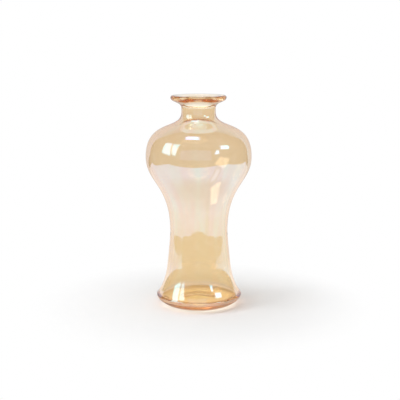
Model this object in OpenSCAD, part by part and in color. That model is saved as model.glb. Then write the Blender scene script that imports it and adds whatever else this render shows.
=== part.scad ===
// Glass bud vase with a flared foot, a narrow waist, a full belly and a flat flared lip.
// The whole vase is one turned wall. Each module is one zone of it, from the standing ring up to the lip,
// and the zones meet face to face at level planes. Millimetres, +Z up, origin at the centre of the base.

/* [Overall] */
// Height of the vase from the table to the top of the lip
vase_h = 200; // [170:1:260]

/* [Lip] */
// Radius of the lip at its outermost edge
lip_r = 26.3; // [22:0.1:32]
// Depth of the whole lip, from its top down to where the neck ends
lip_h = 8.5; // [7.5:0.1:11]
// How far the outermost edge of the lip lies below its top
lip_edge_drop = 2; // [1:0.1:3.5]
// Width of the rounding between the outermost edge and the top of the lip
lip_round_w = 1.9; // [0.8:0.1:4]
// Width of the flare that leads the top of the lip into the bore
mouth_flare_w = 9; // [6:0.1:9.5]
// Depth of the flare that leads the top of the lip into the bore
mouth_flare_h = 10; // [6:0.1:11]

/* [Neck] */
// Outer radius of the neck at its narrowest
neck_r = 16.1; // [14.5:0.1:18]
// Radius of the straight bore through the neck
bore_r = 12.6; // [11:0.1:13.6]
// Height of the plane where the shoulder ends and the neck begins, measured down from the top
neck_foot_drop = 23.5; // [22:0.1:25]
// Depth below the top at which the narrow stretch of the neck ends
neck_low_drop = 15.5; // [14.5:0.1:17]
// Depth below the top at which the narrow stretch of the neck starts
neck_high_drop = 12; // [11.5:0.1:13.5]

/* [Belly] */
// Outer radius of the belly at its widest line
belly_r = 50; // [44:0.5:60]
// Depth of the widest line of the belly below the top of the lip
belly_drop = 57.5; // [52:0.5:70]
// Wall of the belly at its widest line
belly_wall = 4.1; // [3:0.1:6]
// How far the inside of the shoulder hangs below its outside
shoulder_sink = 3.5; // [2.5:0.1:5]

/* [Waist] */
// Outer radius of the waist at its narrowest line
waist_r = 27.3; // [23:0.1:34]
// Height of the narrowest line of the waist above the table
waist_z = 71; // [55:0.5:85]
// Wall of the waist at its narrowest line
waist_wall = 3.8; // [3:0.1:6]
// How far the inside of the bell stands above its outside
bell_lift = 1; // [0:0.1:3]

/* [Skirt] */
// Height above the table at which the skirt bends out into the foot
bend_z = 40; // [34:0.5:46]
// How much larger the outer radius is at the bend than at the waist
bend_spread = 2.8; // [1.5:0.1:6]
// Wall of the skirt at the bend
bend_wall = 4; // [3:0.1:6]
// How far the inside of the bend stands above its outside
bend_lift = 1.5; // [0:0.1:3]

/* [Foot] */
// Outer radius of the foot at its widest line
foot_r = 40.7; // [36:0.1:48]
// Height of the widest line of the foot above the table
foot_z = 9.8; // [8.5:0.1:12]
// Wall of the foot at its widest line
foot_wall = 4.3; // [3:0.1:6]
// Height of the inside floor above the table
floor_z = 6.6; // [5.5:0.1:7.5]
// Width of the rounding where the inside floor meets the wall
floor_round_w = 3.4; // [1.5:0.1:6]

/* [Underside] */
// Outer radius of the flat ring that the vase stands on
stand_r = 28; // [26.5:0.1:32]
// Width of the flat ring that the vase stands on
stand_w = 3.5; // [2:0.1:6]
// Height of the standing ring
stand_h = 1.2; // [0.8:0.1:1.6]
// Height of the hollow under the vase at its middle
kick_h = 2.4; // [1.8:0.1:3.2]

/* [Curves] */
// Straight pieces in each curve of the outline
curve_steps = 20; // [12:1:30]
// Fullness of the flare at the foot, as a share of the height from foot to bend
flare_foot_share = 0.03; // [0:0.01:0.3]
// Fullness of the flare at the bend, as a share of the height from foot to bend
flare_bend_share = 0.75; // [0.3:0.01:0.8]
// Fullness of the skirt at the bend, as a share of the height from bend to waist
skirt_bend_share = 0.59; // [0.2:0.01:0.7]
// Fullness of the skirt at the waist, as a share of the height from bend to waist
skirt_waist_share = 0.05; // [0.02:0.01:0.4]
// How far the skirt leans outwards at the bend, as a share of its fall there
bend_lean_share = 0.105; // [0:0.005:0.3]
// Fullness of the bell at the waist, as a share of its height
bell_waist_share = 0.63; // [0.45:0.01:0.68]
// Fullness of the bell at the belly, as a share of its height
bell_belly_share = 0.34; // [0.2:0.01:0.45]
// Fullness of the shoulder at the belly, as a share of its height
shoulder_belly_share = 0.86; // [0.7:0.01:0.88]
// Fullness of the shoulder at the neck, as a share of its height
shoulder_neck_share = 0.42; // [0.3:0.01:0.5]
// Fullness of the lip's underside at the neck, as a share of its height
lip_neck_share = 0.64; // [0.4:0.01:0.7]
// Fullness of the lip's underside at the edge, as a share of its height
lip_edge_share = 0.45; // [0.2:0.01:0.6]
// How far the top of the lip stays level, as a share of the flare's width
mouth_level_share = 0.75; // [0.5:0.01:0.9]
// How far the bore runs on upright, as a share of the flare's depth
mouth_upright_share = 0.7; // [0.4:0.01:0.85]
// Roundness of the heel beside the widest line, as a share of its height
heel_side_share = 0.5; // [0.4:0.01:0.7]
// Roundness of the heel beside the standing ring, as a share of its width
heel_stand_share = 0.25; // [0.1:0.01:0.5]
// Where the hollow underneath turns level, as a share of its radius
kick_share = 0.6; // [0.4:0.01:0.8]
// How full a quarter round is, as a share of its sides
quarter_share = 0.55; // [0.5:0.01:0.6]

/* [Hidden] */
$fn = 128;
glass = [0.89, 0.74, 0.49, 0.6];

lip_edge_z = vase_h - lip_edge_drop;
lip_crest_r = lip_r - lip_round_w;
lip_foot_z = vase_h - lip_h;
neck_high_z = vase_h - neck_high_drop;
neck_low_z = vase_h - neck_low_drop;
neck_foot_z = vase_h - neck_foot_drop;
belly_z = vase_h - belly_drop;
belly_in_r = belly_r - belly_wall;
waist_in_r = waist_r - waist_wall;
bend_r = waist_r + bend_spread;
bend_in_r = bend_r - bend_wall;
foot_in_r = foot_r - foot_wall;
floor_r = foot_in_r - floor_round_w;
stand_in_r = stand_r - stand_w;
// The mouth flare never reaches past the flat of the lip
flare_w = min(mouth_flare_w, lip_crest_r - bore_r);
// The level start of the flare, on the top of the lip
flare_r = bore_r + flare_w;
widest_r = max(belly_r, foot_r, lip_r);

// Points of the cubic curve that leaves a towards b and reaches d from c
function cubic(a, b, c, d) = [
    for (i = [0 : curve_steps])
        let (t = i / curve_steps, s = 1 - t)
            s * s * s * a + 3 * s * s * t * b + 3 * s * t * t * c + t * t * t * d
];

// Upright at both ends: from a up to d, with the lengths over which each end stays upright
function s_curve(a, d, a_len, d_len) =
    cubic(a, [a[0], a[1] + a_len], [d[0], d[1] - d_len], d);

// From the foot up to the waist: two curves that lean the same way where they meet, at the bend
function skirt_curve(foot, bend, waist) =
    let (
        flare_len = flare_bend_share * (bend[1] - foot[1]),
        skirt_len = skirt_bend_share * (waist[1] - bend[1])
    )
    concat(
        cubic(
            foot,
            [foot[0], foot[1] + flare_foot_share * (bend[1] - foot[1])],
            [bend[0] + bend_lean_share * flare_len, bend[1] - flare_len],
            bend
        ),
        cubic(
            bend,
            [bend[0] - bend_lean_share * skirt_len, bend[1] + skirt_len],
            [waist[0], waist[1] - skirt_waist_share * (waist[1] - bend[1])],
            waist
        )
    );

// Quarter round from a, where it runs upright, to d, where it runs level
function quarter(a, d, upright_share, level_share) =
    cubic(
        a,
        [a[0], a[1] + upright_share * (d[1] - a[1])],
        [d[0] - level_share * (d[0] - a[0]), d[1]],
        d
    );

// A list of points in the opposite order
function turned(points) = [for (i = [len(points) - 1 : -1 : 0]) points[i]];

// Outer outline, from the standing ring up to the crest of the lip
bell_h = belly_z - waist_z;
shoulder_h = neck_low_z - belly_z;
lip_rise = lip_edge_z - neck_high_z;
outer_points = concat(
    turned(quarter([foot_r, foot_z], [stand_r, 0], heel_side_share, heel_stand_share)),
    skirt_curve([foot_r, foot_z], [bend_r, bend_z], [waist_r, waist_z]),
    s_curve([waist_r, waist_z], [belly_r, belly_z], bell_waist_share * bell_h, bell_belly_share * bell_h),
    s_curve(
        [belly_r, belly_z],
        [neck_r, neck_low_z],
        shoulder_belly_share * shoulder_h,
        shoulder_neck_share * shoulder_h
    ),
    s_curve([neck_r, neck_high_z], [lip_r, lip_edge_z], lip_neck_share * lip_rise, lip_edge_share * lip_rise),
    quarter([lip_r, lip_edge_z], [lip_crest_r, vase_h], quarter_share, quarter_share)
);

// Inner outline, from the middle of the floor up to the start of the mouth flare
inner_points = concat(
    [[0, floor_z]],
    turned(quarter([foot_in_r, foot_z], [floor_r, floor_z], quarter_share, quarter_share)),
    skirt_curve([foot_in_r, foot_z], [bend_in_r, bend_z + bend_lift], [waist_in_r, waist_z]),
    s_curve(
        [waist_in_r, waist_z],
        [belly_in_r, belly_z],
        bell_waist_share * bell_h + bell_lift,
        bell_belly_share * bell_h - bell_lift
    ),
    s_curve(
        [belly_in_r, belly_z],
        [bore_r, neck_low_z],
        shoulder_belly_share * shoulder_h - shoulder_sink,
        shoulder_neck_share * shoulder_h + shoulder_sink
    ),
    quarter([bore_r, vase_h - mouth_flare_h], [flare_r, vase_h], mouth_upright_share, mouth_level_share)
);

// Hollow underneath, from the inside of the standing ring up to its middle
kick_points = cubic([stand_in_r, 0], [stand_in_r, stand_h], [kick_share * stand_in_r, kick_h], [0, kick_h]);

// One half of the glass, cut through the axis
module section() {
    polygon(concat(turned(kick_points), outer_points, turned(inner_points)));
}

// The ring of glass between two level planes
module zone(low_z, high_z) {
    color(glass)
        rotate_extrude()
            intersection() {
                section();
                translate([0, low_z])
                    square([widest_r, high_z - low_z]);
            }
}

// Ring under the base that the vase stands on, with the edge of the hollow inside it
module standing_ring() {
    zone(0, stand_h);
}

// Thick bottom with the rounded heel and the inside floor
module base_disc() {
    zone(stand_h, foot_z);
}

// Flared lower wall, from the widest line of the foot to the waist
module skirt() {
    zone(foot_z, waist_z);
}

// Wall that opens from the waist to the widest line of the belly
module bell() {
    zone(waist_z, belly_z);
}

// Domed wall that closes from the belly to the foot of the neck
module shoulder() {
    zone(belly_z, neck_foot_z);
}

// Short neck with the straight bore
module neck() {
    zone(neck_foot_z, lip_foot_z);
}

// Flat flared lip round the mouth
module lip() {
    zone(lip_foot_z, vase_h);
}

standing_ring();
base_disc();
skirt();
bell();
shoulder();
neck();
lip();
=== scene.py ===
"""Amber lustre bud vase of blown glass, dressed round its fixed frame.

The glass is one continuous turned wall. Its outline repeats the frame's: quarter rounds at the heel, the
inside floor and the mouth, a skirt that bends out into the foot, and upright S-curves between the waist,
the belly and the neck. The outside carries the lustre, the inside is bare glass. A small studio stands
round it: white paper, lamps for the shadow, and what only mirrors see, which is the table, a pale sheet
behind it, soft panels and the unlit room.
"""
from __future__ import annotations

import logging
import math
from dataclasses import dataclass, field
from enum import Enum
from typing import Sequence

import bpy
import numpy as np
from mathutils import Matrix, Vector


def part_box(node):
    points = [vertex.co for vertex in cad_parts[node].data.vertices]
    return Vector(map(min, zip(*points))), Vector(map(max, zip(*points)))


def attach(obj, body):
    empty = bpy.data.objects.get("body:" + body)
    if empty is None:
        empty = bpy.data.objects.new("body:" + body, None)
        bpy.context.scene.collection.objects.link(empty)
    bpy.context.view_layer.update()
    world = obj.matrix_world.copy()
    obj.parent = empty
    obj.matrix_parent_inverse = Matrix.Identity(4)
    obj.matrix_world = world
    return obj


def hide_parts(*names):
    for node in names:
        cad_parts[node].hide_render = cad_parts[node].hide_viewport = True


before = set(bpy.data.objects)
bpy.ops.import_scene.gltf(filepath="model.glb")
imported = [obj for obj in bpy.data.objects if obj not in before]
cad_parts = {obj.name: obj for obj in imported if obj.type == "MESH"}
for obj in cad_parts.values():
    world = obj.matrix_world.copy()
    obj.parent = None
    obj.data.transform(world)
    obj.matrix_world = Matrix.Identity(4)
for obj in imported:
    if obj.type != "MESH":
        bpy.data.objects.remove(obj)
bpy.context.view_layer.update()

log = logging.getLogger("bud_vase")

MM = 0.001


def linear(hex_colour: str) -> tuple[float, float, float, float]:
    """Turn an sRGB hex colour into the linear colour that a shader socket takes.

    Args:
        hex_colour: six hex digits with a leading hash.

    Returns:
        Linear red, green and blue with an alpha of 1.
    """
    values = [int(hex_colour[i:i + 2], 16) / 255 for i in (1, 3, 5)]
    red, green, blue = (v / 12.92 if v <= 0.04045 else ((v + 0.055) / 1.055) ** 2.4 for v in values)
    return (red, green, blue, 1.0)


def add_node(tree: bpy.types.NodeTree, kind: str, settings: dict | None = None,
             inputs: dict | None = None) -> bpy.types.Node:
    """Add a node, set its properties, and set or link its inputs.

    Args:
        tree: the node tree that the node goes into.
        kind: the node's type name.
        settings: values of the node's own properties.
        inputs: socket names or numbers, each with a value or with an output socket to link from.

    Returns:
        The new node.
    """
    node = tree.nodes.new(kind)
    for name, value in (settings or {}).items():
        setattr(node, name, value)
    for name, value in (inputs or {}).items():
        if isinstance(value, bpy.types.NodeSocket):
            tree.links.new(value, node.inputs[name])
        else:
            node.inputs[name].default_value = value
    return node


def empty_tree(material: bpy.types.Material) -> bpy.types.NodeTree:
    """Give a material an empty node tree.

    Args:
        material: the material, whose nodes are cleared.

    Returns:
        Its tree.
    """
    material.use_nodes = True
    material.node_tree.nodes.clear()
    return material.node_tree


Point = tuple[float, float]
Corner = tuple[float, float, float]
Stops = tuple[tuple[float, str], ...]


def height_colour(tree: bpy.types.NodeTree, place: bpy.types.NodeSocket,
                  stops: Stops) -> bpy.types.NodeSocket:
    """Give a colour that changes with the height above the table.

    Args:
        tree: the material's tree.
        place: Object coordinates.
        stops: heights in millimetres, each with the sRGB hex colour there.

    Returns:
        The colour's socket.
    """
    height = add_node(tree, "ShaderNodeSeparateXYZ", inputs={"Vector": place}).outputs["Z"]
    top = stops[-1][0]
    share = add_node(tree, "ShaderNodeMath", {"operation": "DIVIDE"}, {0: height, 1: top * MM})
    ramp = add_node(tree, "ShaderNodeValToRGB", inputs={"Fac": share.outputs[0]})
    bar = ramp.color_ramp.elements
    for place_mm, _ in stops[1:-1]:
        bar.new(place_mm / top)
    for element, (place_mm, colour) in zip(bar, stops):
        element.position = place_mm / top
        element.color = linear(colour)
    return ramp.outputs["Color"]


class Skin(Enum):
    """The two skins of the glass wall, with the share of the lustre that each carries."""

    OUTSIDE = 1.0
    INSIDE = 0.0


@dataclass(frozen=True)
class LustreGlass:
    """Soda-lime glass, blown and fire-polished, with a fumed amber lustre of tin and iron on its outer skin.

    The lustre turns what comes through to honey, and mirrors white as pearl that drifts in upright
    streaks from violet blue, where the film is thin, to sea green, where it is thick. A faint haze softens
    what it mirrors. The inside is bare glass.
    """

    name: str = "amber_lustre_glass"
    # The darker amber band from 4 to 6 mm is painted shade, where the undercut above the standing ring
    # mirrors the vase's own shadow, and the pale band from 7.5 to 11 mm is a painted reflection of the white
    # table along the foot's widest line. The other stops are the lustre's own tint by height.
    tints_with_painted_heel_bands: Stops = ((0.0, "#EDC870"), (2.6, "#EDC870"), (4.0, "#DCA45A"), (6.0, "#DCA45A"),
                    (7.5, "#F6DCC0"), (11.0, "#F6DCC0"), (15.0, "#EED3A4"), (85.0, "#EED3A4"),
                    (125.0, "#E3CBA5"), (184.0, "#E6CAA2"), (189.0, "#EACFA4"), (191.5, "#FFF2D6"),
                    (196.5, "#FFF2D6"), (198.5, "#D8BA90"), (200.0, "#D8BA90"))
    edge_tints: Stops = ((0.0, "#D8AC84"), (20.0, "#D8AC84"), (50.0, "#B4865C"), (105.0, "#B4865C"),
                         (125.0, "#C09A78"), (180.0, "#C09A78"), (189.0, "#7A5028"), (200.0, "#7A5028"))
    body_colour: str = "#EFB700"
    body_per_m: float = 10.0
    index: float = 1.5
    thin_film: str = "#435E92"
    thick_film: str = "#267C9F"
    edge_film: str = "#958176"
    drift_width_mm: float = 10.0
    drift_radius_mm: float = 35.0
    drift_stretch: float = 0.16
    drift_detail: float = 1.0
    drift_grain: float = 0.4
    drift_bend: float = 0.3
    drift_low: float = 0.35
    drift_high: float = 0.65
    film_shares: Stops = ((0.0, "#101010"), (5.5, "#181818"), (7.0, "#FFF8F4"), (13.0, "#FFF8F4"),
                          (30.0, "#F0F0F0"), (45.0, "#B4B4B4"), (60.0, "#B8B8B8"), (115.0, "#FFFFFF"),
                          (180.0, "#F0E8E0"), (187.0, "#D8C8B0"), (190.5, "#504840"), (200.0, "#504840"))
    shadow_white: float = 0.7
    edge_blend: float = 0.5
    edge_start: float = 0.45
    edge_end: float = 0.95
    ripple_mm: float = 0.02
    ripple_width_mm: float = 20.0
    ripple_detail: float = 1.0
    haze_width_mm: float = 9.0
    haze_detail: float = 3.0
    haze_low: float = 0.35
    haze_high: float = 0.75
    glass_roughness: tuple[float, float] = (0.0, 0.04)
    film_roughness: tuple[float, float] = (0.05, 0.12)
    spot_width_mm: float = 14.0
    spot_detail: float = 4.0
    spot_low: float = 0.5
    spot_high: float = 0.8
    spot_share: float = 0.16

    def build(self) -> bpy.types.Material:
        """Build the material. It reads the piece's lustre attribute, which is 1 on the outer skin.

        Returns:
            The finished material.
        """
        material = bpy.data.materials.new(self.name)
        tree = empty_tree(material)
        place = add_node(tree, "ShaderNodeTexCoord").outputs["Object"]
        skin = add_node(tree, "ShaderNodeAttribute", {"attribute_name": "lustre"}).outputs["Fac"]
        tint = add_node(tree, "ShaderNodeMix", {"data_type": "RGBA"}, {
            0: skin, 6: linear("#FFFFFF"), 7: self.tint_colour(tree, place)})
        haze = add_node(tree, "ShaderNodeTexNoise", inputs={
            "Vector": place, "Scale": 1 / (self.haze_width_mm * MM), "Detail": self.haze_detail})
        ripple = add_node(tree, "ShaderNodeTexNoise", inputs={
            "Vector": place, "Scale": 1 / (self.ripple_width_mm * MM), "Detail": self.ripple_detail})
        bump = add_node(tree, "ShaderNodeBump", inputs={
            "Height": ripple.outputs["Fac"], "Strength": 1.0, "Distance": self.ripple_mm * MM})
        glass = add_node(tree, "ShaderNodeBsdfPrincipled", inputs={
            "Base Color": tint.outputs[2], "IOR": self.index, "Transmission Weight": 1.0,
            "Roughness": self.hazy_roughness(tree, haze.outputs["Fac"], self.glass_roughness),
            "Normal": bump.outputs["Normal"]})
        film = add_node(tree, "ShaderNodeBsdfAnisotropic", inputs={
            "Color": self.film_colour(tree, place, skin),
            "Roughness": self.hazy_roughness(tree, haze.outputs["Fac"], self.film_roughness),
            "Normal": bump.outputs["Normal"]})
        surface = add_node(tree, "ShaderNodeAddShader", inputs={0: glass.outputs[0], 1: film.outputs[0]})
        body = add_node(tree, "ShaderNodeVolumeAbsorption", inputs={
            "Color": linear(self.body_colour), "Density": self.body_per_m})
        add_node(tree, "ShaderNodeOutputMaterial", inputs={
            "Surface": surface.outputs[0], "Volume": body.outputs["Volume"]})
        return material

    def hazy_roughness(self, tree: bpy.types.NodeTree, haze: bpy.types.NodeSocket,
                       ends: tuple[float, float]) -> bpy.types.NodeSocket:
        """Give a roughness that follows the haze noise from the first end to the second."""
        return add_node(tree, "ShaderNodeMapRange", inputs={
            "Value": haze, "From Min": self.haze_low, "From Max": self.haze_high,
            "To Min": ends[0], "To Max": ends[1]}).outputs["Result"]

    def tint_colour(self, tree: bpy.types.NodeTree, place: bpy.types.NodeSocket) -> bpy.types.NodeSocket:
        """Colour that the lustre lets through: by height, and browner where the glass is seen edge-on.

        Here and there the lustre is a little thinner. Light that falls on the paper through the glass keeps
        most of its own colour. Near the heel the height colour also holds painted light: a pale band of
        painted table reflection along the foot's widest line, and a darker amber band of painted shade below
        it.

        Args:
            tree: the material's tree.
            place: Object coordinates.

        Returns:
            The colour's socket.
        """
        seen = add_node(tree, "ShaderNodeMix", {"data_type": "RGBA"}, {
            0: self.edge_on(tree), 6: height_colour(tree, place, self.tints_with_painted_heel_bands),
            7: height_colour(tree, place, self.edge_tints)})
        spots = add_node(tree, "ShaderNodeTexNoise", inputs={
            "Vector": place, "Scale": 1 / (self.spot_width_mm * MM), "Detail": self.spot_detail})
        thinner = add_node(tree, "ShaderNodeMapRange", inputs={
            "Value": spots.outputs["Fac"], "From Min": self.spot_low, "From Max": self.spot_high,
            "To Max": self.spot_share})
        seen = add_node(tree, "ShaderNodeMix", {"data_type": "RGBA"}, {
            0: thinner.outputs["Result"], 6: seen.outputs[2], 7: linear("#FFFFFF")})
        fallen = add_node(tree, "ShaderNodeMath", {"operation": "MULTIPLY", "use_clamp": True}, {
            0: add_node(tree, "ShaderNodeLightPath").outputs["Diffuse Depth"], 1: self.shadow_white})
        return add_node(tree, "ShaderNodeMix", {"data_type": "RGBA"}, {
            0: fallen.outputs[0], 6: seen.outputs[2], 7: linear("#FFFFFF")}).outputs[2]

    def edge_on(self, tree: bpy.types.NodeTree) -> bpy.types.NodeSocket:
        """Give 0 where the glass is seen square on, rising to 1 where it is seen edge-on."""
        slant = add_node(tree, "ShaderNodeLayerWeight", inputs={"Blend": self.edge_blend}).outputs["Facing"]
        return add_node(tree, "ShaderNodeMapRange", {"interpolation_type": "SMOOTHSTEP"}, {
            "Value": slant, "From Min": self.edge_start, "From Max": self.edge_end}).outputs["Result"]

    def film_colour(self, tree: bpy.types.NodeTree, place: bpy.types.NodeSocket,
                    skin: bpy.types.NodeSocket) -> bpy.types.NodeSocket:
        """Colour that the film mirrors, only off the outer skin's face and less where the glass mirrors more.

        Args:
            tree: the material's tree.
            place: Object coordinates.
            skin: 1 on the outer skin and 0 inside.

        Returns:
            The colour's socket.
        """
        flat = add_node(tree, "ShaderNodeVectorMath", {"operation": "MULTIPLY"},
                        {0: place, 1: (1.0, 1.0, 0.0)})
        outwards = add_node(tree, "ShaderNodeVectorMath", {"operation": "NORMALIZE"}, {0: flat.outputs[0]})
        upright = add_node(tree, "ShaderNodeVectorMath", {"operation": "MULTIPLY"},
                           {0: place, 1: (0.0, 0.0, self.drift_stretch)})
        radius = self.drift_radius_mm * MM
        streaks = add_node(tree, "ShaderNodeVectorMath", {"operation": "MULTIPLY_ADD"},
                           {0: outwards.outputs[0], 1: (radius, radius, 0.0), 2: upright.outputs[0]})
        drift = add_node(tree, "ShaderNodeTexNoise", inputs={
            "Vector": streaks.outputs[0], "Scale": 1 / (self.drift_width_mm * MM),
            "Detail": self.drift_detail, "Roughness": self.drift_grain, "Distortion": self.drift_bend})
        thickness = add_node(tree, "ShaderNodeMapRange", inputs={
            "Value": drift.outputs["Fac"], "From Min": self.drift_low, "From Max": self.drift_high})
        square = add_node(tree, "ShaderNodeMix", {"data_type": "RGBA"}, {
            0: thickness.outputs["Result"], 6: linear(self.thin_film), 7: linear(self.thick_film)})
        whole = add_node(tree, "ShaderNodeMix", {"data_type": "RGBA"}, {
            0: self.edge_on(tree), 6: square.outputs[2], 7: linear(self.edge_film)})
        colour = add_node(tree, "ShaderNodeVectorMath", {"operation": "MULTIPLY"}, {
            0: whole.outputs[2], 1: height_colour(tree, place, self.film_shares)})
        within = add_node(tree, "ShaderNodeNewGeometry").outputs["Backfacing"]
        outward = add_node(tree, "ShaderNodeMath", {"operation": "SUBTRACT", "use_clamp": True},
                           {0: skin, 1: within})
        bare = add_node(tree, "ShaderNodeFresnel", inputs={"IOR": self.index})
        left = add_node(tree, "ShaderNodeMath", {"operation": "SUBTRACT"}, {0: 1.0, 1: bare.outputs[0]})
        share = add_node(tree, "ShaderNodeMath", {"operation": "MULTIPLY"},
                         {0: outward.outputs[0], 1: left.outputs[0]})
        return add_node(tree, "ShaderNodeVectorMath", {"operation": "SCALE"},
                        {0: colour.outputs[0], "Scale": share.outputs[0]}).outputs["Vector"]


def cubic(a: Point, b: Point, c: Point, d: Point, steps: int) -> np.ndarray:
    """Points of a cubic curve, a (1-t)^3 + 3 b (1-t)^2 t + 3 c (1-t) t^2 + d t^3, for t from 0 to 1.

    Args:
        a: where the curve starts.
        b: the point that it leaves towards.
        c: the point that it arrives from.
        d: where it ends.
        steps: number of straight pieces.

    Returns:
        An array of steps + 1 rows, each a radius and a height.
    """
    t = np.linspace(0.0, 1.0, steps + 1)[:, None]
    s = 1.0 - t
    near = s ** 3 * np.array(a) + 3 * s * s * t * np.array(b)
    return near + 3 * s * t * t * np.array(c) + t ** 3 * np.array(d)


def s_curve(a: Point, d: Point, a_length: float, d_length: float, steps: int) -> np.ndarray:
    """Cubic from a up to d that runs upright at both ends, over a_length and d_length."""
    return cubic(a, (a[0], a[1] + a_length), (d[0], d[1] - d_length), d, steps)


def quarter(a: Point, d: Point, upright_share: float, level_share: float, steps: int) -> np.ndarray:
    """Quarter round, as a cubic, from a, where it runs upright, to d, where it runs level.

    Args:
        a: radius and height of its start.
        d: radius and height of its end.
        upright_share: length of the upright handle as a share of the round's height.
        level_share: length of the level handle as a share of the round's width.
        steps: number of straight pieces.

    Returns:
        Rows of a radius and a height.
    """
    b = (a[0], a[1] + upright_share * (d[1] - a[1]))
    c = (d[0] - level_share * (d[0] - a[0]), d[1])
    return cubic(a, b, c, d, steps)


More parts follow.
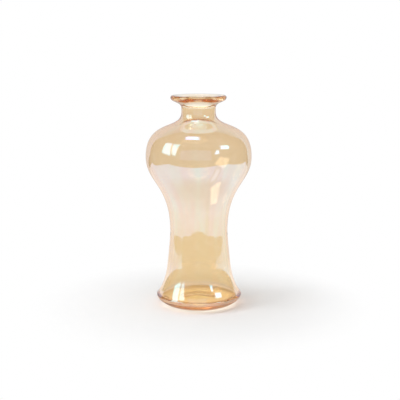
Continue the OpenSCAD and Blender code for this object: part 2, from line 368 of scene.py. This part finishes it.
@dataclass
class BlownVase:
    """The vase: one turned wall of glass with its lustre outside. Sizes are in millimetres."""

    top_z: float = field(default_factory=lambda: float(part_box("lip")[1][2]) / MM)
    lip_r: float = field(default_factory=lambda: float(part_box("lip")[1][1]) / MM)
    belly_r: float = field(default_factory=lambda: float(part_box("shoulder")[1][1]) / MM)
    belly_z: float = field(default_factory=lambda: float(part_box("shoulder")[0][2]) / MM)
    waist_z: float = field(default_factory=lambda: float(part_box("bell")[0][2]) / MM)
    foot_r: float = field(default_factory=lambda: float(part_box("skirt")[1][1]) / MM)
    foot_z: float = field(default_factory=lambda: float(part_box("skirt")[0][2]) / MM)
    lip_edge_drop: float = 2.0
    lip_round_w: float = 1.9
    mouth_flare_w: float = 9.0
    mouth_flare_h: float = 10.0
    neck_r: float = 16.1
    bore_r: float = 12.6
    neck_low_drop: float = 15.5
    neck_high_drop: float = 12.0
    belly_wall: float = 4.1
    shoulder_sink: float = 3.5
    waist_r: float = 27.3
    waist_wall: float = 3.8
    bell_lift: float = 1.0
    bend_z: float = 40.0
    bend_spread: float = 2.8
    bend_wall: float = 4.0
    bend_lift: float = 1.5
    foot_wall: float = 4.3
    floor_z: float = 6.6
    floor_round_w: float = 3.4
    stand_r: float = 28.0
    stand_w: float = 3.5
    stand_round: float = 0.3
    kick_h: float = 2.4
    flare_shares: tuple[float, float] = (0.03, 0.75)
    skirt_shares: tuple[float, float] = (0.59, 0.05)
    lean_share: float = 0.105
    bell_shares: tuple[float, float] = (0.63, 0.34)
    shoulder_shares: tuple[float, float] = (0.86, 0.42)
    lip_shares: tuple[float, float] = (0.64, 0.45)
    mouth_shares: tuple[float, float] = (0.7, 0.75)
    heel_shares: tuple[float, float] = (0.5, 0.25)
    kick_share: float = 0.5
    quarter_share: float = 0.55
    wall_steps: int = 44
    round_steps: int = 16
    sides: int = 192

    def skirt_curve(self, foot: Point, bend: Point, waist: Point) -> np.ndarray:
        """Two cubics from the foot up to the waist, which lean the same way where they meet, at the bend.

        Args:
            foot: radius and height of the foot's widest line.
            bend: radius and height of the bend.
            waist: radius and height of the waist's narrowest line.

        Returns:
            Rows of a radius and a height.
        """
        low_h = bend[1] - foot[1]
        high_h = waist[1] - bend[1]
        flare_length = self.flare_shares[1] * low_h
        skirt_length = self.skirt_shares[0] * high_h
        flare = cubic(foot, (foot[0], foot[1] + self.flare_shares[0] * low_h),
                      (bend[0] + self.lean_share * flare_length, bend[1] - flare_length), bend,
                      self.wall_steps // 2)
        skirt = cubic(bend, (bend[0] - self.lean_share * skirt_length, bend[1] + skirt_length),
                      (waist[0], waist[1] - self.skirt_shares[1] * high_h), waist, self.wall_steps)
        return np.vstack([flare, skirt[1:]])

    def outer_outline(self) -> np.ndarray:
        """Outer outline from the standing ring up to the crest of the lip.

        It is a quarter round at the heel, the skirt, an upright S-curve from the waist to the belly and one
        from the belly to the neck, a straight neck, an S-curve out into the lip and a quarter round there.

        Returns:
            Rows of a radius and a height.
        """
        foot = (self.foot_r, self.foot_z)
        waist = (self.waist_r, self.waist_z)
        belly = (self.belly_r, self.belly_z)
        neck_low = (self.neck_r, self.top_z - self.neck_low_drop)
        neck_high = (self.neck_r, self.top_z - self.neck_high_drop)
        edge = (self.lip_r, self.top_z - self.lip_edge_drop)
        crest = (self.lip_r - self.lip_round_w, self.top_z)
        bend = (self.waist_r + self.bend_spread, self.bend_z)
        bell_h = self.belly_z - self.waist_z
        shoulder_h = neck_low[1] - self.belly_z
        lip_h = edge[1] - neck_high[1]
        return np.vstack([
            quarter(foot, (self.stand_r, 0.0), *self.heel_shares, self.round_steps)[::-1],
            self.skirt_curve(foot, bend, waist)[1:],
            s_curve(waist, belly, self.bell_shares[0] * bell_h, self.bell_shares[1] * bell_h,
                    self.wall_steps)[1:],
            s_curve(belly, neck_low, self.shoulder_shares[0] * shoulder_h,
                    self.shoulder_shares[1] * shoulder_h, self.wall_steps)[1:],
            s_curve(neck_high, edge, self.lip_shares[0] * lip_h, self.lip_shares[1] * lip_h,
                    self.round_steps),
            quarter(edge, crest, self.quarter_share, self.quarter_share, self.round_steps)[1:],
        ])

    def inner_outline(self) -> np.ndarray:
        """Inner outline from the middle of the floor up to the top of the mouth flare.

        It follows the outer outline at the wall's thickness, from the round at the floor up to the neck.
        From there the bore is straight up to the quarter round of the mouth.

        Returns:
            Rows of a radius and a height.
        """
        foot_in = (self.foot_r - self.foot_wall, self.foot_z)
        floor = (foot_in[0] - self.floor_round_w, self.floor_z)
        waist_in = (self.waist_r - self.waist_wall, self.waist_z)
        belly_in = (self.belly_r - self.belly_wall, self.belly_z)
        neck_in = (self.bore_r, self.top_z - self.neck_low_drop)
        flare_foot = (self.bore_r, self.top_z - self.mouth_flare_h)
        flare_top = (self.bore_r + self.mouth_flare_w, self.top_z)
        bend_in = (self.waist_r + self.bend_spread - self.bend_wall, self.bend_z + self.bend_lift)
        bell_h = self.belly_z - self.waist_z
        shoulder_h = neck_in[1] - self.belly_z
        return np.vstack([
            np.linspace((0.0, self.floor_z), floor, self.round_steps // 2, endpoint=False),
            quarter(foot_in, floor, self.quarter_share, self.quarter_share, self.round_steps)[::-1],
            self.skirt_curve(foot_in, bend_in, waist_in)[1:],
            s_curve(waist_in, belly_in, self.bell_shares[0] * bell_h + self.bell_lift,
                    self.bell_shares[1] * bell_h - self.bell_lift, self.wall_steps)[1:],
            s_curve(belly_in, neck_in, self.shoulder_shares[0] * shoulder_h - self.shoulder_sink,
                    self.shoulder_shares[1] * shoulder_h + self.shoulder_sink, self.wall_steps)[1:],
            quarter(flare_foot, flare_top, *self.mouth_shares, self.wall_steps // 2),
        ])

    def underside_outline(self) -> np.ndarray:
        """Hollow underneath, from its middle out to the standing ring, where it runs out level."""
        ring_in = self.stand_r - self.stand_w
        return cubic((0.0, self.kick_h), (self.kick_share * ring_in, self.kick_h),
                     (self.kick_share * ring_in, 0.0), (ring_in + self.stand_round, 0.0), self.round_steps)

    def revolve(self) -> bpy.types.Object:
        """Turn the whole outline round the axis into one closed mesh.

        The surface is (r cos a, r sin a, z) on a grid of the outline's points and of the angle a. The two
        ends of the outline lie on the axis, where a fan of triangles closes each pole on one point.

        Returns:
            The vase's mesh object, with its faces pointing out of the glass.
        """
        under = self.underside_outline()
        outer = self.outer_outline()
        inner = self.inner_outline()[::-1]
        rings = np.vstack([under[1:], outer, inner[:-1]]) * MM
        lustre_rings = len(under) - 1 + len(outer)
        angle = np.arange(self.sides) * (2 * math.pi / self.sides)
        grid = np.stack([
            rings[:, :1] * np.cos(angle),
            rings[:, :1] * np.sin(angle),
            np.repeat(rings[:, 1:], self.sides, axis=1),
        ], axis=-1).reshape(-1, 3)
        poles = np.array([[0.0, 0.0, under[0, 1]], [0.0, 0.0, inner[-1, 1]]]) * MM
        points = np.vstack([grid, poles])
        row, column = np.meshgrid(np.arange(len(rings) - 1), np.arange(self.sides), indexing="ij")
        after = (column + 1) % self.sides
        quads = np.stack([
            row * self.sides + column,
            row * self.sides + after,
            (row + 1) * self.sides + after,
            (row + 1) * self.sides + column,
        ], axis=-1).reshape(-1, 4)
        spoke = np.arange(self.sides)
        beside = (spoke + 1) % self.sides
        last = (len(rings) - 1) * self.sides
        under_fan = np.stack([np.full(self.sides, len(grid)), beside, spoke], axis=-1)
        floor_fan = np.stack([np.full(self.sides, len(grid) + 1), last + spoke, last + beside], axis=-1)
        mesh = bpy.data.meshes.new("vase_glass")
        mesh.from_pydata(points.tolist(), [], quads.tolist() + under_fan.tolist() + floor_fan.tolist())
        skins = np.full(len(points), Skin.INSIDE.value, np.float32)
        skins[:lustre_rings * self.sides] = Skin.OUTSIDE.value
        skins[len(grid)] = Skin.OUTSIDE.value
        mesh.attributes.new("lustre", "FLOAT", "POINT").data.foreach_set("value", skins)
        mesh.polygons.foreach_set("use_smooth", np.ones(len(mesh.polygons), bool))
        mesh.update()
        mesh.validate()
        vase = bpy.data.objects.new("vase_glass", mesh)
        bpy.context.scene.collection.objects.link(vase)
        return vase

    def build(self, finish: LustreGlass) -> bpy.types.Object:
        """Make the vase, dress it, and put it in place of the frame's zones.

        Args:
            finish: the glass with its lustre.

        Returns:
            The finished piece.
        """
        vase = self.revolve()
        vase.data.materials.append(finish.build())
        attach(vase, "root")
        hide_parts("standing_ring", "base_disc", "skirt", "bell", "shoulder", "neck", "lip")
        log.info("%s: %d faces", vase.name, len(vase.data.polygons))
        return vase


@dataclass(frozen=True)
class LightPanel:
    """A soft panel that the glass mirrors: a glowing sheet with faded edges, given by its four corners.

    The corners are in metres, from the lower left one round by the lower right one. The fade is the share
    of the sheet's width, and of its height, over which each edge fades out.
    """

    name: str
    corners: tuple[Corner, Corner, Corner, Corner]
    strength: float
    fade: float
    colour: str = "#FFF3DC"

    def build(self) -> bpy.types.Object:
        """Make the sheet and its light.

        Returns:
            The panel, which only mirror rays see.
        """
        mesh = bpy.data.meshes.new(self.name)
        mesh.from_pydata(self.corners, [], [(0, 1, 2, 3)])
        uv = mesh.uv_layers.new(name="sheet")
        uv.data.foreach_set("uv", [0.0, 0.0, 1.0, 0.0, 1.0, 1.0, 0.0, 1.0])
        material = bpy.data.materials.new(self.name)
        tree = empty_tree(material)
        place = add_node(tree, "ShaderNodeUVMap", {"uv_map": "sheet"}).outputs["UV"]
        parts = add_node(tree, "ShaderNodeSeparateXYZ", inputs={"Vector": place})
        across, upwards = (self.faded(tree, parts.outputs[axis]) for axis in ("X", "Y"))
        level = add_node(tree, "ShaderNodeMath", {"operation": "MULTIPLY"},
                         {0: across, 1: upwards}).outputs[0]
        power = add_node(tree, "ShaderNodeMath", {"operation": "MULTIPLY"}, {0: level, 1: self.strength})
        glow = add_node(tree, "ShaderNodeEmission", inputs={
            "Color": linear(self.colour), "Strength": power.outputs[0]})
        clear = add_node(tree, "ShaderNodeBsdfTransparent")
        sheet = add_node(tree, "ShaderNodeMixShader", inputs={
            "Fac": level, 1: clear.outputs[0], 2: glow.outputs[0]})
        add_node(tree, "ShaderNodeOutputMaterial", inputs={"Surface": sheet.outputs[0]})
        mesh.materials.append(material)
        panel = bpy.data.objects.new(self.name, mesh)
        bpy.context.scene.collection.objects.link(panel)
        mirrored_only(panel)
        return panel

    def faded(self, tree: bpy.types.NodeTree, along: bpy.types.NodeSocket) -> bpy.types.NodeSocket:
        """Fade the sheet out towards two of its edges.

        Args:
            tree: the material's tree.
            along: the place between the two edges, from 0 to 1.

        Returns:
            The socket, which is 1 in the sheet's middle and 0 at both edges.
        """
        back = add_node(tree, "ShaderNodeMath", {"operation": "SUBTRACT"}, {0: 1.0, 1: along})
        near = add_node(tree, "ShaderNodeMath", {"operation": "MINIMUM"}, {0: along, 1: back.outputs[0]})
        return add_node(tree, "ShaderNodeMapRange", {"interpolation_type": "SMOOTHSTEP"}, {
            "Value": near.outputs[0], "From Max": self.fade, "To Max": 1.0}).outputs["Result"]


@dataclass(frozen=True)
class ShadowLamp:
    """A soft area lamp that shines on the foot of the vase and gives its shadow. Sizes are in metres."""

    name: str
    place: Corner
    watts: float
    size: tuple[float, float] = (0.5, 0.45)
    target: Corner = (0.0, 0.0, 0.05)

    def build(self) -> bpy.types.Object:
        """Hang the lamp.

        Returns:
            The lamp, which the camera and mirrors don't see.
        """
        lamp = bpy.data.lights.new(self.name, "AREA")
        lamp.shape = "RECTANGLE"
        lamp.size, lamp.size_y = self.size
        lamp.energy = self.watts
        thing = bpy.data.objects.new(self.name, lamp)
        facing = (Vector(self.target) - Vector(self.place)).to_track_quat("-Z", "Y")
        thing.matrix_world = Matrix.Translation(self.place) @ facing.to_matrix().to_4x4()
        bpy.context.scene.collection.objects.link(thing)
        thing.visible_glossy = False
        thing.visible_camera = False
        return thing


def seen_ray(tree: bpy.types.NodeTree) -> bpy.types.NodeSocket:
    """Tell rays from the camera, from a mirror and through glass from those that only light.

    Args:
        tree: the material's or the world's tree.

    Returns:
        The socket, which is 1 on rays that are seen and 0 on the others.
    """
    path = add_node(tree, "ShaderNodeLightPath")
    seen = path.outputs["Is Camera Ray"]
    for name in ("Is Glossy Ray", "Is Transmission Ray"):
        seen = add_node(tree, "ShaderNodeMath", {"operation": "MAXIMUM"},
                        {0: seen, 1: path.outputs[name]}).outputs[0]
    return seen


def glow_material(name: str, colour: str, strength: float) -> bpy.types.Material:
    """Build a plain glowing material for a stage piece that only mirrors see.

    Args:
        name: name of the material.
        colour: sRGB hex colour of the glow.
        strength: strength of the glow, where 1 is white for a white colour.

    Returns:
        The finished material.
    """
    material = bpy.data.materials.new(name)
    tree = empty_tree(material)
    glow = add_node(tree, "ShaderNodeEmission", inputs={"Color": linear(colour), "Strength": strength})
    add_node(tree, "ShaderNodeOutputMaterial", inputs={"Surface": glow.outputs[0]})
    return material


def flat_stage(name: str, points: Sequence[Sequence[float]], faces: Sequence[Sequence[int]],
               material: bpy.types.Material) -> bpy.types.Object:
    """Make a stage piece from its points and faces.

    Args:
        name: name of the piece.
        points: its corners, in metres.
        faces: the corners' numbers, face by face.
        material: what it is made of.

    Returns:
        The piece.
    """
    mesh = bpy.data.meshes.new(name)
    mesh.from_pydata(points, [], faces)
    mesh.materials.append(material)
    thing = bpy.data.objects.new(name, mesh)
    bpy.context.scene.collection.objects.link(thing)
    return thing


def mirrored_only(thing: bpy.types.Object) -> None:
    """Let only mirror rays see a stage piece.

    Args:
        thing: the piece, which the camera, matt surfaces, glass and shadows then miss.
    """
    thing.visible_camera = False
    thing.visible_diffuse = False
    thing.visible_transmission = False
    thing.visible_volume_scatter = False
    thing.visible_shadow = False


@dataclass(frozen=True)
class Studio:
    """The white paper under the vase, what the glass mirrors, and the camera. Sizes are in metres.

    The mirrored table is a level top and the paper that falls from its edges. Its corners lie on the rays
    from the camera that the skirt and the belly mirror at the table's edges. Its faces number the corners
    of the top first and then those of the fall.
    """

    table_plan: tuple[Point, ...] = (
        (-0.39, 0.33), (-0.44, 0.265), (-0.51, 0.09), (-0.697, -0.29), (-0.217, -0.292), (-0.024, -0.292),
        (0.176, -0.294), (0.644, -0.292), (0.6, -0.1), (0.55, 0.075), (0.5, 0.318), (0.48, 0.33))
    table_fall: tuple[Corner, ...] = (
        (-1.307, 0.764, -0.161), (-1.483, 0.232, -0.343), (-0.882, -1.238, -0.345), (0.026, -1.533, -0.398),
        (0.906, -1.279, -0.27), (1.491, -0.429, -0.237), (1.509, 0.401, -0.228), (1.375, 0.803, -0.13))
    fall_faces: tuple[tuple[int, int, int], ...] = (
        (0, 12, 1), (1, 12, 13), (1, 13, 2), (2, 13, 3), (3, 13, 14), (3, 14, 4), (4, 14, 15), (4, 15, 5),
        (5, 15, 6), (6, 15, 16), (6, 16, 7), (7, 16, 17), (7, 17, 8), (8, 17, 18), (8, 18, 9), (9, 18, 10),
        (10, 18, 19), (10, 19, 11))
    sheet_back: float = 0.33
    sheet_dimming: tuple[float, float] = (0.3, 0.66)
    sheet_low_level: float = 0.7
    sheet_top_level: float = 0.25
    sheet_outline: tuple[Point, ...] = (
        (-0.3, 0.0), (-0.3, 0.05), (-0.46, 0.12), (-0.46, 0.69), (0.46, 0.69), (0.46, 0.12), (0.38, 0.05),
        (0.38, 0.0))
    floor_half: float = 3.0
    floor_gap: float = 0.0003
    room_radius: float = 2.4
    room_columns: int = 49
    room_rows: int = 25
    room_colour: str = "#2E2A26"
    floor_colour: str = "#F6F6F6"
    fade_start: float = 0.048
    fade_end: float = 0.17
    ambient: float = 0.51
    backdrop: float = 1.0
    lens_mm: float = 88.6
    sensor_mm: float = 36.0
    camera_back: float = 0.9224
    camera_up: float = 0.2645
    aim_up: float = 0.1007
    aim_right: float = 0.00115
    roll: float = -0.15
    light_bounces: int = 64

    def build_world(self) -> None:
        """White all round for the eye, mirrors and glass, and a softer white that lights the table."""
        world = bpy.data.worlds.new("studio_white")
        bpy.context.scene.world = world
        world.use_nodes = True
        tree = world.node_tree
        tree.nodes.clear()
        level = add_node(tree, "ShaderNodeMapRange", inputs={
            "Value": seen_ray(tree), "To Min": self.ambient, "To Max": self.backdrop})
        light = add_node(tree, "ShaderNodeBackground", inputs={
            "Color": linear("#FFFFFF"), "Strength": level.outputs["Result"]})
        add_node(tree, "ShaderNodeOutputWorld", inputs={"Surface": light.outputs[0]})

    def white_paper(self) -> bpy.types.Material:
        """Matt white paper that whitens to the backdrop away from the vase and keeps its shadow near it.

        Returns:
            The finished material.
        """
        material = bpy.data.materials.new("white_paper")
        tree = empty_tree(material)
        place = add_node(tree, "ShaderNodeTexCoord").outputs["Object"]
        away = add_node(tree, "ShaderNodeVectorMath", {"operation": "LENGTH"}, {0: place})
        fade = add_node(tree, "ShaderNodeMapRange", {"interpolation_type": "SMOOTHSTEP"}, {
            "Value": away.outputs["Value"], "From Min": self.fade_start, "From Max": self.fade_end})
        shown = add_node(tree, "ShaderNodeMath", {"operation": "MULTIPLY"},
                         {0: fade.outputs["Result"], 1: seen_ray(tree)})
        coat = add_node(tree, "ShaderNodeBsdfDiffuse", inputs={"Color": linear(self.floor_colour)})
        white = add_node(tree, "ShaderNodeEmission", inputs={
            "Color": linear("#FFFFFF"), "Strength": self.backdrop})
        paper = add_node(tree, "ShaderNodeMixShader", inputs={
            "Fac": shown.outputs[0], 1: coat.outputs[0], 2: white.outputs[0]})
        add_node(tree, "ShaderNodeOutputMaterial", inputs={"Surface": paper.outputs[0]})
        return material

    def build_floor(self) -> bpy.types.Object:
        """Lay the white floor that the camera sees under the vase.

        Returns:
            The floor, which mirrors miss.
        """
        half = self.floor_half
        drop = -self.floor_gap
        corners = [(-half, -half, drop), (half, -half, drop), (half, half, drop), (-half, half, drop)]
        floor = flat_stage("floor", corners, [(0, 1, 2, 3)], self.white_paper())
        floor.visible_glossy = False
        return floor

    def dimming_paper(self) -> bpy.types.Material:
        """Pale sheet that is brightest low down and dims towards its top, away from the lamps.

        Returns:
            The finished material.
        """
        material = bpy.data.materials.new("mirrored_sheet")
        tree = empty_tree(material)
        place = add_node(tree, "ShaderNodeTexCoord").outputs["Object"]
        height = add_node(tree, "ShaderNodeSeparateXYZ", inputs={"Vector": place}).outputs["Z"]
        level = add_node(tree, "ShaderNodeMapRange", {"interpolation_type": "SMOOTHSTEP"}, {
            "Value": height, "From Min": self.sheet_dimming[0], "From Max": self.sheet_dimming[1],
            "To Min": self.sheet_low_level, "To Max": self.sheet_top_level})
        glow = add_node(tree, "ShaderNodeEmission", inputs={
            "Color": linear("#FFFFFF"), "Strength": level.outputs["Result"]})
        add_node(tree, "ShaderNodeOutputMaterial", inputs={"Surface": glow.outputs[0]})
        return material

    def build_sweep(self) -> None:
        """Set up the paper that the glass mirrors: the table with its fall in front, and the sheet behind."""
        top = tuple((x, y, 0.0) for x, y in self.table_plan)
        table = flat_stage("mirrored_table", top + self.table_fall,
                           (tuple(range(len(top))),) + self.fall_faces, self.white_paper())
        outline = [(x, self.sheet_back, z) for x, z in self.sheet_outline]
        upright = flat_stage("mirrored_sheet", outline, [tuple(range(len(outline)))], self.dimming_paper())
        table.data.transform(Matrix.Translation((0.0, 0.0, -self.floor_gap)))
        mirrored_only(table)
        mirrored_only(upright)

    def build_room(self) -> bpy.types.Object:
        """Put the unlit room round the table, where only mirror rays find it.

        It is a ball given by (R cos e sin a, -R cos e cos a, R sin e) over the azimuth a and elevation e.

        Returns:
            The room, which only mirror rays see.
        """
        width = self.room_columns
        azimuth = np.radians(np.linspace(0.0, 360.0, width))
        elevation = np.radians(np.linspace(-90.0, 90.0, self.room_rows))
        a, e = np.meshgrid(azimuth, elevation)
        outward = np.stack([np.cos(e) * np.sin(a), -np.cos(e) * np.cos(a), np.sin(e)], axis=-1)
        ball = (self.room_radius * outward).reshape(-1, 3)
        row, column = np.meshgrid(np.arange(self.room_rows - 1), np.arange(width - 1), indexing="ij")
        corner = row * width + column
        faces = np.stack([corner, corner + 1, corner + width + 1, corner + width], axis=-1).reshape(-1, 4)
        room = flat_stage("dark_room", ball.tolist(), faces.tolist(),
                          glow_material("dark_room", self.room_colour, 1.0))
        mirrored_only(room)
        return room

    def build_camera(self) -> bpy.types.Object:
        """Set the camera where the photograph was taken from.

        Returns:
            The camera.
        """
        data = bpy.data.cameras.new("camera")
        data.sensor_width = self.sensor_mm
        data.lens = self.lens_mm
        camera = bpy.data.objects.new("camera", data)
        place = Vector((0.0, -self.camera_back, self.camera_up))
        aim = Vector((self.aim_right, 0.0, self.aim_up))
        turn = (aim - place).to_track_quat("-Z", "Y").to_matrix().to_4x4()
        roll = Matrix.Rotation(math.radians(self.roll), 4, "Z")
        camera.matrix_world = Matrix.Translation(place) @ turn @ roll
        bpy.context.scene.collection.objects.link(camera)
        bpy.context.scene.camera = camera
        return camera

    def build(self, lights: Sequence[LightPanel | ShadowLamp]) -> None:
        """Set up the whole studio.

        Args:
            lights: the panels that the glass mirrors, and the lamps that give the shadow.
        """
        self.build_world()
        self.build_floor()
        self.build_sweep()
        self.build_room()
        self.build_camera()
        for light in lights:
            light.build()
            log.info("light %s", light.name)
        scene = bpy.context.scene
        scene.view_settings.view_transform = "Standard"
        scene.cycles.blur_glossy = 0.0
        for kind in ("max_bounces", "transmission_bounces", "glossy_bounces"):
            setattr(scene.cycles, kind, self.light_bounces)


LAMPS = (
    ShadowLamp("key_lamp", (-0.75, -0.28, 0.52), 3.9),
    ShadowLamp("top_lamp", (-0.09, -0.13, 0.9), 1.5),
)
# Each panel's corners lie on the rays from the camera that the outside of the glass mirrors at the corners
# of one highlight. right_haze and room_window hang close to the glass, so that only the wall beside them
# mirrors them.
PANELS = (
    LightPanel("left_softbox", ((-1.623, -0.114, 0.313), (-1.426, -0.812, 0.234), (-1.122, -0.335, 1.284),
                                (-1.304, 0.077, 1.12)), 2.6, fade=0.09, colour="#FAFFDC"),
    LightPanel("left_strip", ((-1.42, -0.835, 0.216), (-1.226, -1.096, 0.192), (-0.803, -0.714, 1.38),
                              (-1.13, -0.305, 1.31)), 2.4, fade=0.2, colour="#F4FFDC"),
    LightPanel("right_strip", ((1.051, -1.002, 0.74), (1.462, -0.368, 0.64), (1.38, -0.19, 1.0),
                               (0.992, -0.75, 1.213)), 4.2, fade=0.24),
    LightPanel("right_lamp", ((0.856, -1.344, 0.42), (1.156, -1.098, 0.42), (1.126, -0.972, 0.843),
                              (0.952, -1.14, 0.852)), 3.6, fade=0.24),
    LightPanel("right_haze", ((0.014, -0.057, 0.055), (0.034, -0.049, 0.057), (0.068, -0.082, 0.134),
                              (0.05, -0.096, 0.136)), 1.6, fade=0.35),
    LightPanel("room_window", ((-0.108, -0.141, 0.138), (0.081, -0.159, 0.139), (0.075, -0.147, 0.209),
                               (-0.101, -0.13, 0.206)), 0.28, fade=0.1, colour="#E4ECFF"),
    LightPanel("overhead", ((-0.356, -0.222, 0.919), (0.095, -0.344, 0.952), (0.07, 0.075, 1.006),
                            (-0.265, 0.137, 0.959)), 3.4, fade=0.28, colour="#F4EEFF"),
)


def main() -> None:
    """Build the vase and its studio."""
    logging.basicConfig(level=logging.INFO, format="%(name)s: %(message)s")
    vase = BlownVase()
    vase.build(LustreGlass())
    Studio().build(LAMPS + PANELS)


if __name__ == "__main__":
    main()
